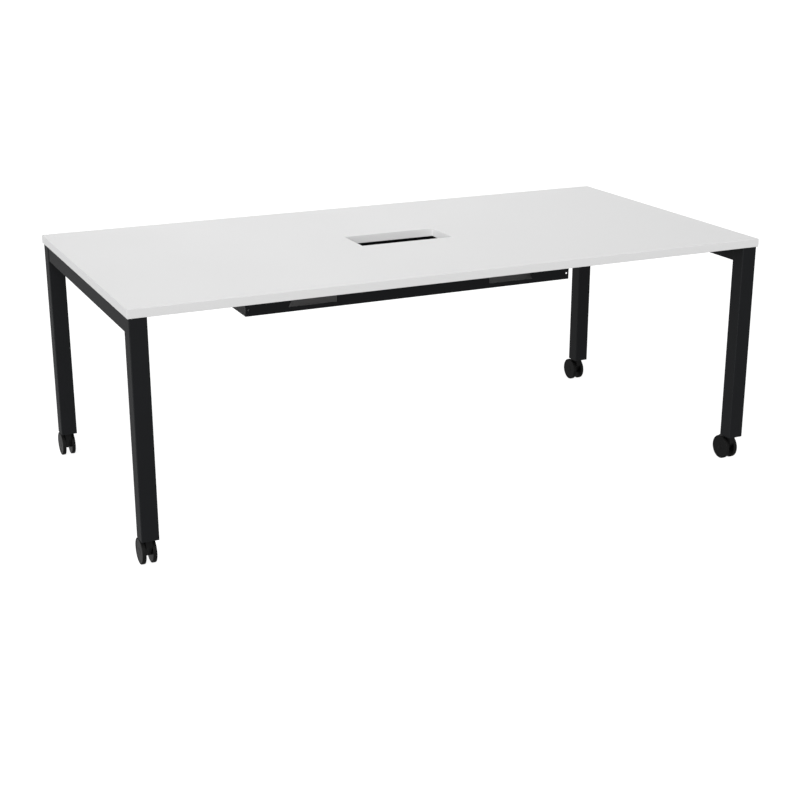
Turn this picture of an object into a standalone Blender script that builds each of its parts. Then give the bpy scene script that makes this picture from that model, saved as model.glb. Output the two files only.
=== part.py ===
"""Mobile table: a board top on a welded steel frame, with a cable tray and four swivel casters.

Metres, +Z up. The table's front faces -Y and its right end is at +X. The origin is on the floor,
under the middle of the whole object's box. All casters trail towards +Y.
"""
import math

import bmesh
import bpy
from mathutils.geometry import convex_hull_2d

# Whole table
TABLE_HEIGHT = 0.735
TOP_LENGTH = 2.000
TOP_WIDTH = 1.000
TOP_THICKNESS = 0.025
TOP_EDGE_ROUND = 0.001
PORT_LENGTH = 0.305
PORT_WIDTH = 0.140

# Gap between pieces that touch, and the gap round a pin or a stem that turns
SEAT = 0.0003
TURNING_GAP = 0.0003

# Legs: square tube, set in a little from the edges of the top
LEG_SIZE = 0.050
LEG_WALL = 0.002
LEG_INSET = 0.004

# Rails: tubes under the top
END_RAIL_WIDTH = 0.046
END_RAIL_HEIGHT = 0.0495
LONG_RAIL_WIDTH = 0.030
LONG_RAIL_HEIGHT = 0.040
LONG_RAIL_SPACING = 0.600
RAIL_WALL = 0.002
TUBE_INNER_CORNER = 0.001

# Corner plates that tie the rails together and carry the top's screws
PLATE_REACH = 0.090
PLATE_TIP = 0.014
PLATE_THICKNESS = 0.003
PLATE_SCREW_IN = 0.016
PLATE_SCREW_OUT = 0.060

# Screws into the underside of the top
SCREW_LENGTH = 0.018
SCREW_RADIUS = 0.0021
SCREW_HEAD_RADIUS = 0.0045
SCREW_HEAD_HEIGHT = 0.0026
SCREW_CROWN_RADIUS = 0.00315
SCREW_POINT = 0.003
SCREW_HOLE_GAP = 0.0006
PILOT_SPARE_DEPTH = 0.001

# Cable tray: one folded sheet, open at both ends
TRAY_LENGTH = 1.100
TRAY_WIDTH = 0.242
TRAY_DEPTH = 0.140
TRAY_SHEET = 0.0015
TRAY_FLANGE = 0.025
TRAY_INNER_BEND = 0.0015
TRAY_SCREW_FROM_END = 0.050
WINDOW_FROM_END = 0.134
WINDOW_LENGTH = 0.156
WINDOW_SILL = 0.015
WINDOW_HEIGHT = 0.070
WINDOW_SLANT = math.radians(30)
REAR_WINDOW_FROM_END = 0.015
REAR_WINDOW_LENGTH = 0.405
REAR_WINDOW_HEIGHT = 0.090
END_HOLE_RADIUS = 0.003
END_HOLE_FROM_END = 0.0085
END_HOLE_FROM_FLOOR = 0.020

# Leg sockets: plastic inserts in the feet of the legs
SOCKET_LENGTH = 0.030

# Casters: twin wheels that trail behind the swivel axis
WHEEL_RADIUS = 0.0380
WHEEL_WIDTH = 0.0108
WHEEL_EDGE = 0.0011
WHEEL_INNER_EDGE = 0.0006
WHEEL_DISH_RIM = 0.0065
WHEEL_DISH_DEPTH = 0.0006
WHEEL_BORE_DEPTH = 0.0078
WHEEL_SIDE_GAP = 0.0010
CASTER_TRAIL = 0.0268
BODY_WIDTH = 0.0176
HUB_RADIUS = 0.016
NECK_FRONT = 0.009
NECK_RISE = 0.020
AXLE_RADIUS = 0.004
FLANGE_RADIUS = 0.015
FLANGE_THICKNESS = 0.003
FLANGE_STEP = 0.0005
WHEEL_TO_FLANGE = 0.0017
COLLAR_ACROSS_FLATS = 0.017
COLLAR_THICKNESS = 0.0022
STEM_RADIUS = 0.005
STEM_IN_BODY = 0.0190
STEM_PAST_SOCKET = 0.006
STEM_CHAMFER = 0.0008

# Brake levers of the front casters, which lie between the wheels and follow their rim
LEVER_EYE_RADIUS = 0.0045
LEVER_EYE_WIDTH = 0.0128
LEVER_EYE_FROM_ANGLE = 70
LEVER_EYE_TO_ANGLE = 310
LEVER_PIN_RADIUS = 0.002
LEVER_PIN_END_GAP = 0.0004
LEVER_STEM_WALL = 0.0042
LEVER_EYE_GAP = 0.0005
LEVER_HEADROOM = 0.0017
LEVER_PROUD = 0.002
LEVER_THICKNESS = 0.005
LEVER_START_ANGLE = 84
LEVER_TREAD_ANGLE = 68
LEVER_TIP_ANGLE = 40
LEVER_TREAD_GAP = 0.0004
CHEEK_REAR_WALL = 0.001

# Fineness of the round shapes
WHEEL_SEGMENTS = 36
PIN_SEGMENTS = 24
SMALL_PIN_SEGMENTS = 16
SCREW_SEGMENTS = 12
HUB_SEGMENTS = 32
LEVER_EYE_SEGMENTS = 14
LEVER_BAND_SEGMENTS = 8
LEVER_TREAD_SEGMENTS = 5
CORNER_SEGMENTS = 3
MERGE = 0.00001

# Heights above the floor, from the wheels up
wheel_top = 2 * WHEEL_RADIUS
flange_bottom = wheel_top + WHEEL_TO_FLANGE
flange_top = flange_bottom + FLANGE_THICKNESS
collar_bottom = flange_top + SEAT
collar_top = collar_bottom + COLLAR_THICKNESS
leg_foot = collar_top + SEAT
underside = TABLE_HEIGHT - TOP_THICKNESS
frame_top = underside - SEAT

# Places in the plane of the floor, from the middle of the top
leg_x = TOP_LENGTH / 2 - LEG_INSET - LEG_SIZE / 2
leg_y = TOP_WIDTH / 2 - LEG_INSET - LEG_SIZE / 2
end_rail_inner = leg_x - END_RAIL_WIDTH / 2
long_rail_y = LONG_RAIL_SPACING / 2
long_rail_inner = long_rail_y - LONG_RAIL_WIDTH / 2
rear_reach = leg_y + CASTER_TRAIL + WHEEL_RADIUS
box_middle_y = (max(rear_reach, TOP_WIDTH / 2) - TOP_WIDTH / 2) / 2

# The caster's own plane: y back from the swivel axis, z up from the floor
hub = (CASTER_TRAIL, WHEEL_RADIUS)
slot_front = STEM_RADIUS + TURNING_GAP + LEVER_STEM_WALL
lever_pivot = (slot_front + LEVER_EYE_GAP + LEVER_EYE_RADIUS,
               flange_bottom - LEVER_HEADROOM - LEVER_EYE_RADIUS)
cheek_rear = lever_pivot[0] + LEVER_EYE_RADIUS + CHEEK_REAR_WALL
slot_floor = lever_pivot[1] - LEVER_EYE_RADIUS - 2 * LEVER_EYE_GAP
wheel_inner = BODY_WIDTH / 2 + WHEEL_SIDE_GAP

# Turns a flat piece drawn in XY so that it stands in the YZ plane, or in the XZ plane
IN_YZ = (math.pi / 2, 0, math.pi / 2)
IN_XZ = (math.pi / 2, 0, 0)

ENDS = {"left": -1, "right": 1}
SIDES = {"front": -1, "rear": 1}

# Colour, roughness and metallic of each finish
FINISHES = {
    "white_board": ((0.80, 0.80, 0.79), 0.45, 0.0),
    "black_coat": ((0.022, 0.023, 0.025), 0.55, 0.0),
    "black_nylon": ((0.020, 0.020, 0.021), 0.50, 0.0),
    "black_tread": ((0.030, 0.030, 0.031), 0.60, 0.0),
    "zinc_steel": ((0.55, 0.56, 0.57), 0.35, 1.0),
}


def clear_scene():
    for thing in list(bpy.data.objects):
        bpy.data.objects.remove(thing)


def new_collection(name):
    made = bpy.data.collections.new(name)
    bpy.context.scene.collection.children.link(made)
    return made


def make_material(name, finish):
    colour, roughness, metallic = FINISHES[finish]
    material = bpy.data.materials.new(name)
    material.use_nodes = True
    shader = material.node_tree.nodes["Principled BSDF"]
    shader.inputs["Base Color"].default_value = (*colour, 1.0)
    shader.inputs["Roughness"].default_value = roughness
    shader.inputs["Metallic"].default_value = metallic
    return material


def add_empty(name, parent, location):
    empty = bpy.data.objects.new(name, None)
    empty.empty_display_size = 0.03
    empty.location = location
    empty.parent = parent
    parts.objects.link(empty)
    return empty


def add_piece(name, mesh, finish, parent, location=(0, 0, 0), rotation=(0, 0, 0)):
    """A sub-part of the table, with its own material."""
    piece = bpy.data.objects.new(name, mesh)
    piece.location = location
    piece.rotation_euler = rotation
    piece.parent = parent
    parts.objects.link(piece)
    mesh.materials.append(make_material(name, finish))
    return piece


def add_tool(name, mesh, parent, location=(0, 0, 0), rotation=(0, 0, 0)):
    """A shape that a Boolean cuts away or joins on, and that isn't part of the table."""
    tool = bpy.data.objects.new(name, mesh)
    tool.location = location
    tool.rotation_euler = rotation
    tool.parent = parent
    tool.display_type = "WIRE"
    tool.hide_render = True
    cutters.objects.link(tool)
    return tool


def boolean(piece, tool, operation):
    modifier = piece.modifiers.new(tool.name, "BOOLEAN")
    modifier.operation = operation
    modifier.solver = "EXACT"
    modifier.object = tool


def finish_mesh(bm, name):
    """Turns a bmesh into a mesh that is smooth on its round sides."""
    bmesh.ops.recalc_face_normals(bm, faces=bm.faces)
    mesh = bpy.data.meshes.new(name)
    bm.to_mesh(mesh)
    bm.free()
    mesh.shade_smooth()
    mesh.set_sharp_from_angle(angle=math.radians(35))
    return mesh


def box_mesh(name, size, round_edges=0.0, segments=2, upright_only=False):
    """A box round its own origin, with all or only its upright edges rounded."""
    bm = bmesh.new()
    bmesh.ops.create_cube(bm, size=1.0)
    bmesh.ops.scale(bm, vec=size, verts=bm.verts)
    edges = list(bm.edges)
    if upright_only:
        edges = [edge for edge in edges if is_upright(edge)]
    if round_edges > 0:
        bmesh.ops.bevel(bm, geom=edges, offset=round_edges, segments=segments, profile=0.5,
                        affect="EDGES")
    return finish_mesh(bm, name)


def is_upright(edge):
    along = edge.verts[1].co - edge.verts[0].co
    return abs(along.z) > 0.9 * along.length


def rod_mesh(name, radius, length, segments=PIN_SEGMENTS, chamfer=0.0):
    """A round bar along its own Z, centred on its origin."""
    bm = bmesh.new()
    bmesh.ops.create_cone(bm, cap_ends=True, segments=segments, radius1=radius, radius2=radius,
                          depth=length)
    if chamfer > 0:
        rims = [edge for edge in bm.edges if not is_upright(edge)]
        bmesh.ops.bevel(bm, geom=rims, offset=chamfer, segments=1, profile=0.5, affect="EDGES")
    return finish_mesh(bm, name)


def tube_sides(width, depth, length):
    """The four sides of a square tube along its own Z, from 0 to length, and its corner edges."""
    bm = bmesh.new()
    bmesh.ops.create_cube(bm, size=1.0)
    bmesh.ops.scale(bm, vec=(width, depth, length), verts=bm.verts)
    bmesh.ops.translate(bm, vec=(0, 0, length / 2), verts=bm.verts)
    ends = [face for face in bm.faces if abs(face.normal.z) > 0.5]
    bmesh.ops.delete(bm, geom=ends, context="FACES_ONLY")
    corners = [edge for edge in bm.edges if is_upright(edge)]
    return bm, corners


def add_tube(name, width, depth, length, wall, parent, location, rotation=(0, 0, 0)):
    bm, corners = tube_sides(width, depth, length)
    bmesh.ops.bevel(bm, geom=corners, offset=wall + TUBE_INNER_CORNER, segments=CORNER_SEGMENTS,
                    profile=0.5, affect="EDGES")
    tube = add_piece(name, finish_mesh(bm, name), "black_coat", parent, location, rotation)
    add_wall(tube, wall)
    return tube


def add_wall(piece, thickness):
    """Gives an open surface its thickness, on the side that its faces turn away from."""
    wall = piece.modifiers.new("wall", "SOLIDIFY")
    wall.thickness = thickness
    wall.offset = -1
    wall.use_even_offset = True


def flat_mesh(name, loops, thickness):
    """A flat piece in its own XY plane, centred on Z. Loops after the first are holes."""
    curve = bpy.data.curves.new(name, "CURVE")
    curve.dimensions = "2D"
    curve.fill_mode = "BOTH"
    curve.extrude = thickness / 2
    for loop in loops:
        spline = curve.splines.new("POLY")
        spline.points.add(len(loop) - 1)
        spline.use_cyclic_u = True
        for point, (x, y) in zip(spline.points, loop):
            point.co = (x, y, 0, 1)
    outline = bpy.data.objects.new(name, curve)
    cutters.objects.link(outline)
    drawn = outline.evaluated_get(bpy.context.evaluated_depsgraph_get())
    flat = bpy.data.meshes.new_from_object(drawn)
    bpy.data.objects.remove(outline)
    bm = bmesh.new()
    bm.from_mesh(flat)
    bpy.data.meshes.remove(flat)
    bmesh.ops.remove_doubles(bm, verts=bm.verts, dist=MERGE)
    return finish_mesh(bm, name)


def turned_mesh(name, profile):
    """The profile of a turned piece as (radius, height) pairs, from the top down its outer side."""
    points = [(radius, 0, height) for radius, height in profile]
    edges = [(index, index + 1) for index in range(len(points) - 1)]
    mesh = bpy.data.meshes.new(name)
    mesh.from_pydata(points, edges, [])
    return mesh


def turn(piece, segments):
    screw = piece.modifiers.new("turned", "SCREW")
    screw.steps = segments
    screw.render_steps = segments
    screw.use_merge_vertices = True
    screw.merge_threshold = MERGE
    screw.use_smooth_shade = True


def arc(centre, radius, start, end, count):
    """Points on a circle from one angle to another, in degrees."""
    angles = [math.radians(start + (end - start) * step / count) for step in range(count + 1)]
    return [(centre[0] + radius * math.cos(a), centre[1] + radius * math.sin(a)) for a in angles]


def circle(centre, radius, count=PIN_SEGMENTS):
    return arc(centre, radius, 0, 360, count)[:-1]


def rods_mesh(name, places, radius, length, segments):
    """Several upright round bars in one mesh, centred on the given points."""
    bm = bmesh.new()
    for place in places:
        made = bmesh.ops.create_cone(bm, cap_ends=True, segments=segments, radius1=radius,
                                     radius2=radius, depth=length)
        bmesh.ops.translate(bm, vec=(*place, 0), verts=made["verts"])
    return finish_mesh(bm, name)


def plate_corner(end, side):
    """Where a corner plate meets the end rail and the long rail, and its screws' places."""
    x = ENDS[end] * (end_rail_inner - SEAT)
    y = SIDES[side] * (long_rail_inner - SEAT)
    reach = ((PLATE_SCREW_OUT, PLATE_SCREW_IN), (PLATE_SCREW_IN, PLATE_SCREW_OUT))
    screws = [(x - ENDS[end] * a, y - SIDES[side] * b) for a, b in reach]
    return x, y, screws


def tray_screw_places():
    x = TRAY_LENGTH / 2 - TRAY_SCREW_FROM_END
    y = TRAY_WIDTH / 2 + TRAY_FLANGE / 2
    return {f"{side}_{column}": (x * step, SIDES[side] * y)
            for side in SIDES for column, step in (("left", -1), ("middle", 0), ("right", 1))}


def make_top(root):
    size = (TOP_LENGTH, TOP_WIDTH, TOP_THICKNESS)
    mesh = box_mesh("table_top", size, TOP_EDGE_ROUND, segments=1)
    middle = underside + TOP_THICKNESS / 2
    top = add_piece("table_top", mesh, "white_board", root, (0, 0, middle))
    port = add_tool("port_cutter", box_mesh("port_cutter", (PORT_LENGTH, PORT_WIDTH, 2 * TOP_THICKNESS)),
                    root, (0, 0, middle))
    boolean(top, port, "DIFFERENCE")
    drill_pilots(top, root, "plate", PLATE_THICKNESS,
                 [place for end in ENDS for side in SIDES for place in plate_corner(end, side)[2]])
    drill_pilots(top, root, "tray", TRAY_SHEET, list(tray_screw_places().values()))


def drill_pilots(top, root, name, carried, places):
    """Blind holes in the underside of the top for screws that hold a sheet of this thickness."""
    depth = SCREW_LENGTH - carried - 2 * SEAT + PILOT_SPARE_DEPTH
    mesh = rods_mesh(f"{name}_pilots", places, SCREW_RADIUS + SEAT, 2 * depth, SCREW_SEGMENTS)
    boolean(top, add_tool(f"{name}_pilots", mesh, root, (0, 0, underside)), "DIFFERENCE")


def make_legs(root):
    for end in ENDS:
        for side in SIDES:
            add_tube(f"leg_{side}_{end}", LEG_SIZE, LEG_SIZE, frame_top - leg_foot, LEG_WALL, root,
                     (ENDS[end] * leg_x, SIDES[side] * leg_y, leg_foot))


def make_rails(root):
    end_length = 2 * (leg_y - LEG_SIZE / 2 - SEAT)
    for end in ENDS:
        place = (ENDS[end] * leg_x, end_length / 2, frame_top - END_RAIL_HEIGHT / 2)
        add_tube(f"end_rail_{end}", END_RAIL_WIDTH, END_RAIL_HEIGHT, end_length, RAIL_WALL, root,
                 place, (math.pi / 2, 0, 0))
    long_length = 2 * (end_rail_inner - SEAT)
    for side in SIDES:
        place = (-long_length / 2, SIDES[side] * long_rail_y, frame_top - LONG_RAIL_HEIGHT / 2)
        add_tube(f"long_rail_{side}", LONG_RAIL_HEIGHT, LONG_RAIL_WIDTH, long_length, RAIL_WALL,
                 root, place, (0, math.pi / 2, 0))


def make_corner_plates(root):
    middle = frame_top - PLATE_THICKNESS / 2
    outline = ((0, 0), (PLATE_REACH, 0), (PLATE_REACH, PLATE_TIP), (PLATE_TIP, PLATE_REACH),
               (0, PLATE_REACH))
    for end in ENDS:
        for side in SIDES:
            x, y, screws = plate_corner(end, side)
            edge = [(x - ENDS[end] * a, y - SIDES[side] * b) for a, b in outline]
            holes = [circle(place, SCREW_RADIUS + SCREW_HOLE_GAP, SCREW_SEGMENTS) for place in screws]
            name = f"corner_plate_{side}_{end}"
            add_piece(name, flat_mesh(name, [edge, *holes], PLATE_THICKNESS), "black_coat", root,
                      (0, 0, middle))
            for number, place in enumerate(screws, 1):
                make_screw(f"plate_screw_{side}_{end}_{number}", root, place,
                           frame_top - PLATE_THICKNESS)


def make_screw(name, root, place, seat):
    """A pan head screw that points up, its head's bearing face just under the given height."""
    profile = ((0, SCREW_LENGTH), (SCREW_RADIUS, SCREW_LENGTH - SCREW_POINT), (SCREW_RADIUS, 0),
               (SCREW_HEAD_RADIUS, 0), (SCREW_HEAD_RADIUS, -SCREW_HEAD_HEIGHT / 2),
               (SCREW_CROWN_RADIUS, -SCREW_HEAD_HEIGHT), (0, -SCREW_HEAD_HEIGHT))
    screw = add_piece(name, turned_mesh(name, profile), "zinc_steel", root, (*place, seat - SEAT))
    turn(screw, SCREW_SEGMENTS)


def make_tray(root):
    """The tray's outer surface is drawn first, with the underside of its flanges."""
    bm = bmesh.new()
    bmesh.ops.create_cube(bm, size=1.0)
    height = TRAY_DEPTH - TRAY_SHEET
    bmesh.ops.scale(bm, vec=(TRAY_LENGTH, TRAY_WIDTH, height), verts=bm.verts)
    bmesh.ops.translate(bm, vec=(0, 0, height / 2 - TRAY_DEPTH), verts=bm.verts)
    open_faces = [face for face in bm.faces if face.normal.z > 0.5 or abs(face.normal.x) > 0.5]
    bmesh.ops.delete(bm, geom=open_faces, context="FACES_ONLY")
    for sign in SIDES.values():
        add_flange(bm, sign)
    fold_edges(bm, -TRAY_DEPTH, TRAY_INNER_BEND + TRAY_SHEET)
    fold_edges(bm, -TRAY_SHEET, TRAY_INNER_BEND)
    tray = add_piece("cable_tray", finish_mesh(bm, "cable_tray"), "black_coat", root,
                     (0, 0, frame_top))
    add_wall(tray, TRAY_SHEET)
    cut_tray_windows(tray, root)
    cut_tray_holes(tray, root)
    for name, place in tray_screw_places().items():
        make_screw(f"tray_screw_{name}", root, place, frame_top - TRAY_SHEET)


def fold_edges(bm, height, radius):
    """Rounds the folds that run along the tray at one height."""
    folds = [edge for edge in bm.edges if len(edge.link_faces) == 2
             and all(abs(vert.co.z - height) < MERGE for vert in edge.verts)]
    bmesh.ops.bevel(bm, geom=folds, offset=radius, segments=CORNER_SEGMENTS, profile=0.5,
                    affect="EDGES")


def add_flange(bm, sign):
    """Folds the top edge of one tray wall outwards."""
    rim = [edge for edge in bm.edges
           if all(vert.co.z > -TRAY_SHEET - MERGE and vert.co.y * sign > 0 for vert in edge.verts)]
    made = bmesh.ops.extrude_edge_only(bm, edges=rim)
    moved = [item for item in made["geom"] if isinstance(item, bmesh.types.BMVert)]
    bmesh.ops.translate(bm, vec=(0, sign * TRAY_FLANGE, 0), verts=moved)


def window_outline(from_end, length, height, slant):
    """A window low in a tray wall, upright on its inner side, its outer side leaning inwards."""
    low = frame_top - TRAY_DEPTH + WINDOW_SILL
    outer = TRAY_LENGTH / 2 - from_end
    inner = outer - length
    lean = height * math.tan(slant)
    return (inner, low), (outer, low), (outer - lean, low + height), (inner, low + height)


def cut_tray_windows(tray, root):
    """Two slanted windows for cables in the front wall, and two long ones for hands at the rear."""
    windows = {
        "front": window_outline(WINDOW_FROM_END, WINDOW_LENGTH, WINDOW_HEIGHT, WINDOW_SLANT),
        "rear": window_outline(REAR_WINDOW_FROM_END, REAR_WINDOW_LENGTH, REAR_WINDOW_HEIGHT, 0),
    }
    for side, outline in windows.items():
        for end, sign in ENDS.items():
            name = f"tray_window_{side}_{end}"
            loop = [(sign * x, z) for x, z in outline]
            place = (0, SIDES[side] * TRAY_WIDTH / 2, 0)
            tool = add_tool(name, flat_mesh(name, [loop], TRAY_WIDTH / 2), root, place, IN_XZ)
            boolean(tray, tool, "DIFFERENCE")


def cut_tray_holes(tray, root):
    for end, sign in ENDS.items():
        name = f"tray_end_hole_{end}"
        place = (sign * (TRAY_LENGTH / 2 - END_HOLE_FROM_END), 0,
                 frame_top - TRAY_DEPTH + END_HOLE_FROM_FLOOR)
        mesh = rod_mesh(name, END_HOLE_RADIUS, 2 * TRAY_WIDTH, SCREW_SEGMENTS)
        boolean(tray, add_tool(name, mesh, root, place, IN_XZ), "DIFFERENCE")
    mesh = rods_mesh("tray_screw_holes", list(tray_screw_places().values()),
                     SCREW_RADIUS + SCREW_HOLE_GAP, 6 * TRAY_SHEET, SCREW_SEGMENTS)
    boolean(tray, add_tool("tray_screw_holes", mesh, root, (0, 0, frame_top)), "DIFFERENCE")


def make_socket(name, root, x, y):
    """The insert that fills a leg's foot, with a bore for the stem."""
    width = LEG_SIZE - 2 * LEG_WALL - 2 * SEAT
    middle = (x, y, leg_foot + SOCKET_LENGTH / 2)
    mesh = box_mesh(name, (width, width, SOCKET_LENGTH), TUBE_INNER_CORNER + SEAT, upright_only=True)
    socket = add_piece(name, mesh, "black_nylon", root, middle)
    bore = rod_mesh(f"{name}_bore", STEM_RADIUS + SEAT, 2 * SOCKET_LENGTH)
    boolean(socket, add_tool(f"{name}_bore", bore, root, middle), "DIFFERENCE")


def make_stem(name, root, x, y):
    """The caster's steel stem, with the hexagon collar that the leg's foot rests on."""
    low = collar_bottom - SEAT - STEM_IN_BODY
    high = leg_foot + SOCKET_LENGTH + STEM_PAST_SOCKET
    mesh = rod_mesh(name, STEM_RADIUS, high - low, chamfer=STEM_CHAMFER)
    stem = add_piece(name, mesh, "zinc_steel", root, (x, y, (low + high) / 2))
    corner_radius = COLLAR_ACROSS_FLATS / 2 / math.cos(math.pi / 6)
    collar = rod_mesh(f"{name}_collar", corner_radius, COLLAR_THICKNESS, segments=6)
    place = (x, y, (collar_bottom + collar_top) / 2)
    boolean(stem, add_tool(f"{name}_collar", collar, root, place), "UNION")


def body_outline(rear):
    """The side view of a caster body: a round hub with a neck up to the swivel flange."""
    top = flange_top - FLANGE_STEP
    points = circle(hub, HUB_RADIUS, HUB_SEGMENTS)
    points += [(-NECK_FRONT, top), (-NECK_FRONT, WHEEL_RADIUS + NECK_RISE), (rear, top),
               (rear, slot_floor)]
    return [points[index] for index in convex_hull_2d(points)]


def make_caster_body(tag, swivel, braked):
    name = f"caster_body_{tag}"
    rear = cheek_rear if braked else NECK_FRONT
    body = add_piece(name, flat_mesh(name, [body_outline(rear)], BODY_WIDTH), "black_nylon", swivel,
                     rotation=IN_YZ)
    flange = rod_mesh(f"{name}_flange", FLANGE_RADIUS, FLANGE_THICKNESS, WHEEL_SEGMENTS)
    place = (0, 0, (flange_bottom + flange_top) / 2)
    boolean(body, add_tool(f"{name}_flange", flange, swivel, place), "UNION")
    bore = rod_mesh(f"{name}_bore", STEM_RADIUS + TURNING_GAP, 2 * (STEM_IN_BODY + SEAT))
    boolean(body, add_tool(f"{name}_bore", bore, swivel, (0, 0, flange_top)), "DIFFERENCE")
    axle_hole = rod_mesh(f"{name}_axle_hole", AXLE_RADIUS + SEAT, 2 * BODY_WIDTH)
    tool = add_tool(f"{name}_axle_hole", axle_hole, swivel, (0, *hub), (0, math.pi / 2, 0))
    boolean(body, tool, "DIFFERENCE")
    if braked:
        cut_lever_slot(body, name, swivel)


def cut_lever_slot(body, name, swivel):
    """The slot for the brake lever's eye, open to the rear, and the holes for its pin."""
    length = 2 * (cheek_rear - slot_front)
    height = flange_bottom - slot_floor
    size = (LEVER_EYE_WIDTH + 2 * TURNING_GAP, length, height)
    place = (0, slot_front + length / 2, slot_floor + height / 2)
    slot = add_tool(f"{name}_slot", box_mesh(f"{name}_slot", size), swivel, place)
    boolean(body, slot, "DIFFERENCE")
    pin_hole = rod_mesh(f"{name}_pin_hole", LEVER_PIN_RADIUS + SEAT, 2 * BODY_WIDTH,
                        SMALL_PIN_SEGMENTS)
    tool = add_tool(f"{name}_pin_hole", pin_hole, swivel, (0, *lever_pivot), (0, math.pi / 2, 0))
    boolean(body, tool, "DIFFERENCE")


def lever_band(start, end, count):
    """The lever's curved part between two angles round the axle, outer side first."""
    outer = WHEEL_RADIUS + LEVER_PROUD
    return (arc(hub, outer, start, end, count)
            + arc(hub, outer - LEVER_THICKNESS, end, start, count))


def to_pivot(points):
    return [(y - lever_pivot[0], z - lever_pivot[1]) for y, z in points]


def make_brake_lever(tag, swivel):
    """A lever with its eye in the body's slot and a wider tread behind, on its own pin."""
    pivot = add_empty(f"lever_pivot_{tag}", swivel, (0, *lever_pivot))
    name = f"brake_lever_{tag}"
    eye = arc(lever_pivot, LEVER_EYE_RADIUS, LEVER_EYE_FROM_ANGLE, LEVER_EYE_TO_ANGLE,
              LEVER_EYE_SEGMENTS)
    outline = eye + lever_band(LEVER_START_ANGLE, LEVER_TIP_ANGLE, LEVER_BAND_SEGMENTS)[::-1]
    hole = circle(lever_pivot, LEVER_PIN_RADIUS + TURNING_GAP, SMALL_PIN_SEGMENTS)
    loops = [to_pivot(outline), to_pivot(hole)]
    lever = add_piece(name, flat_mesh(name, loops, LEVER_EYE_WIDTH), "black_nylon", pivot,
                      rotation=IN_YZ)
    tread = to_pivot(lever_band(LEVER_TREAD_ANGLE, LEVER_TIP_ANGLE, LEVER_TREAD_SEGMENTS))
    mesh = flat_mesh(f"{name}_tread", [tread], BODY_WIDTH - 2 * LEVER_TREAD_GAP)
    boolean(lever, add_tool(f"{name}_tread", mesh, pivot, rotation=IN_YZ), "UNION")
    pin_length = BODY_WIDTH - 2 * LEVER_PIN_END_GAP
    pin = rod_mesh(f"lever_pin_{tag}", LEVER_PIN_RADIUS, pin_length, SMALL_PIN_SEGMENTS)
    add_piece(f"lever_pin_{tag}", pin, "zinc_steel", swivel, (0, *lever_pivot), (0, math.pi / 2, 0))


def wheel_profile():
    """From the middle of the dished outer face, round the rim, to the end of the blind bore."""
    bore = AXLE_RADIUS + TURNING_GAP
    dish = WHEEL_RADIUS - WHEEL_DISH_RIM
    outer, inner = WHEEL_WIDTH, 0.0
    return ((0, outer - WHEEL_DISH_DEPTH),
            (dish, outer - WHEEL_DISH_DEPTH),
            (dish + WHEEL_DISH_DEPTH, outer),
            (WHEEL_RADIUS - WHEEL_EDGE, outer),
            (WHEEL_RADIUS, outer - WHEEL_EDGE),
            (WHEEL_RADIUS, inner + WHEEL_INNER_EDGE),
            (WHEEL_RADIUS - WHEEL_INNER_EDGE, inner),
            (bore, inner),
            (bore, WHEEL_BORE_DEPTH),
            (0, WHEEL_BORE_DEPTH))


def make_wheels(tag, swivel):
    """Both wheels of a caster, their blind bores towards the body, and the axle they turn on."""
    centre = add_empty(f"axle_centre_{tag}", swivel, (0, *hub))
    for end, sign in ENDS.items():
        name = f"wheel_{tag}_{end}"
        wheel = add_piece(name, turned_mesh(name, wheel_profile()), "black_tread", centre,
                          (sign * wheel_inner, 0, 0), (0, sign * math.pi / 2, 0))
        turn(wheel, WHEEL_SEGMENTS)
    half_length = wheel_inner + WHEEL_BORE_DEPTH - TURNING_GAP
    axle = rod_mesh(f"axle_{tag}", AXLE_RADIUS, 2 * half_length)
    add_piece(f"axle_{tag}", axle, "zinc_steel", centre, rotation=(0, math.pi / 2, 0))


def make_caster(root, end, side):
    tag = f"{side}_{end}"
    x, y = ENDS[end] * leg_x, SIDES[side] * leg_y
    braked = side == "front"
    make_socket(f"leg_socket_{tag}", root, x, y)
    make_stem(f"caster_stem_{tag}", root, x, y)
    swivel = add_empty(f"swivel_{tag}", root, (x, y, 0))
    make_caster_body(tag, swivel, braked)
    make_wheels(tag, swivel)
    if braked:
        make_brake_lever(tag, swivel)


clear_scene()
parts = new_collection("mobile_table")
cutters = new_collection("cutters")
table_middle = add_empty("table_middle", None, (0, -box_middle_y, 0))
make_top(table_middle)
make_legs(table_middle)
make_rails(table_middle)
make_corner_plates(table_middle)
make_tray(table_middle)
for table_end in ENDS:
    for table_side in SIDES:
        make_caster(table_middle, table_end, table_side)
bpy.context.view_layer.update()
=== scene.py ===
import math

import bmesh
import bpy
from mathutils import Matrix, Vector


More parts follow.
